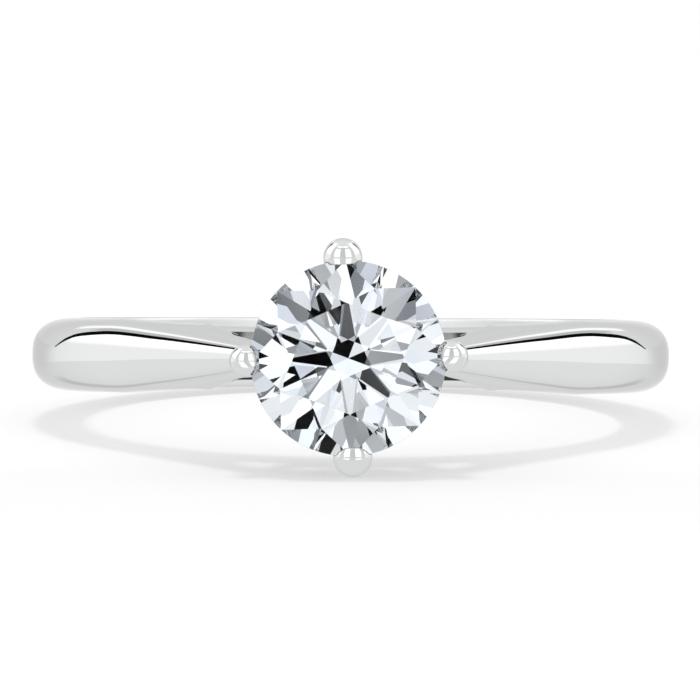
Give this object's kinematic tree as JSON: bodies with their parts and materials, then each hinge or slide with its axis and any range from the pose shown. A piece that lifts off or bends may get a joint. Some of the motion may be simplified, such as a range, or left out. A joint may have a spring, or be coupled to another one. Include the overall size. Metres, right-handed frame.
{
  "type": "engagement ring",
  "caption": "Solitaire ring: a round brilliant held by round prongs at the compass points, on tapered cathedral shoulders that rise from a rounded band.",
  "frame": {"origin": "centre of the finger hole, at the middle of the band's width", "axes": "+Z along the finger hole, the stone faces -Y, and X runs from the left shoulder to the right one"},
  "size_m": [0.0206, 0.0247, 0.0076],
  "materials": {
    "white_gold": "mirror polished white gold, rhodium plated",
    "diamond": "colourless, polished flat facets"
  },
  "bodies": {
    "root": {"shank": "white_gold", "shoulder_left": "white_gold", "shoulder_right": "white_gold", "gallery_rail_upper": "white_gold", "gallery_rail_lower": "white_gold", "prong_north": "white_gold", "prong_east": "white_gold", "prong_south": "white_gold", "prong_west": "white_gold", "diamond": "diamond"}
  },
  "joints": []
}
